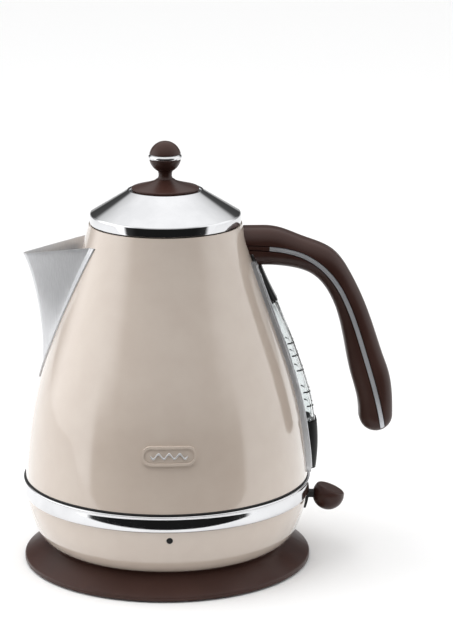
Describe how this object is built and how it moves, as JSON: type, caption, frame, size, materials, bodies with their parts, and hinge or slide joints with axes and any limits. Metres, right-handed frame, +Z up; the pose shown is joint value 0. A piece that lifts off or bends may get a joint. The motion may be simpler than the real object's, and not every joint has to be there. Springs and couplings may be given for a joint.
{
  "type": "electric kettle",
  "caption": "Bell-shaped electric jug kettle with a lift-off lid, open side handle, rear water gauge and switch lever, on a round swivel power base.",
  "frame": {"origin": "on the table, on the axis about which the jug turns on its base", "axes": "+Z up along the swivel axis, +X towards the handle, -X towards the spout, +Y to the side away from the badge"},
  "size_m": [0.2314, 0.18, 0.2653],
  "materials": {
    "enamel": "cream enamel, glossy",
    "chrome": "polished",
    "brushed_steel": "brushed",
    "inner_steel": "plain",
    "brown_plastic": "satin",
    "black_plastic": "satin",
    "grey_plastic": "satin",
    "rubber": "matte",
    "clear_window": "clear",
    "contact_brass": "plain"
  },
  "bodies": {
    "power_base": {"base_top_cover": "brown_plastic", "base_bottom_plate": "black_plastic", "base_feet": "rubber", "base_screws": "inner_steel", "cord_gland": "rubber", "contact_tower": "black_plastic", "tower_contacts": "contact_brass", "tower_centre_contact": "contact_brass", "tower_screws": "inner_steel"},
    "swivel_collar": {"swivel_collar": "grey_plastic"},
    "jug": {"jug_shell": "enamel", "heater_plate": "inner_steel", "heating_element": "inner_steel", "control_unit": "black_plastic", "jug_connector": "black_plastic", "connector_contacts": "contact_brass", "steam_tube": "inner_steel", "steam_switch": "black_plastic", "lever_pivot_pin": "inner_steel", "skirt_shell": "enamel", "pilot_lens": "black_plastic", "underside_cover": "black_plastic", "underside_screws": "inner_steel", "chrome_ring": "chrome", "gasket_ring": "rubber", "badge_plate": "enamel", "spout": "brushed_steel", "filter_frame": "grey_plastic", "filter_mesh": "brushed_steel", "window_frame": "brushed_steel", "window_seal": "rubber", "window_lens": "clear_window", "window_upper_cap": "black_plastic", "window_lower_cap": "black_plastic", "handle_bracket": "inner_steel", "handle_screws": "inner_steel", "handle_outer_shell": "brown_plastic", "handle_inner_shell": "brown_plastic", "handle_strip_left": "chrome", "handle_strip_right": "chrome", "lever_escutcheon": "black_plastic"},
    "lid": {"lid_cone": "chrome", "lid_inner_plug": "black_plastic", "lid_seal": "rubber", "lid_cap_disc": "brown_plastic", "knob_lower_half": "brown_plastic", "knob_ring": "chrome", "knob_upper_half": "brown_plastic", "knob_screw": "inner_steel"},
    "switch_lever": {"lever_arm": "black_plastic", "lever_knob": "brown_plastic"}
  },
  "joints": [
    {"name": "collar_spin", "type": "hinge", "parent": "power_base", "child": "swivel_collar", "pos_m": [0, 0, 0], "axis": [0, 0, 1], "continuous": true},
    {"name": "jug_lift", "type": "slide", "parent": "swivel_collar", "child": "jug", "axis": [0, 0, 1], "range_m": [0, 0.08]},
    {"name": "lid_lift", "type": "slide", "parent": "jug", "child": "lid", "axis": [0, 0, 1], "range_m": [0, 0.06]},
    {"name": "switch_press", "type": "hinge", "parent": "jug", "child": "switch_lever", "pos_m": [0.08, 0, 0.039], "axis": [0, 1, 0], "range_deg": [0, 14]}
  ]
}
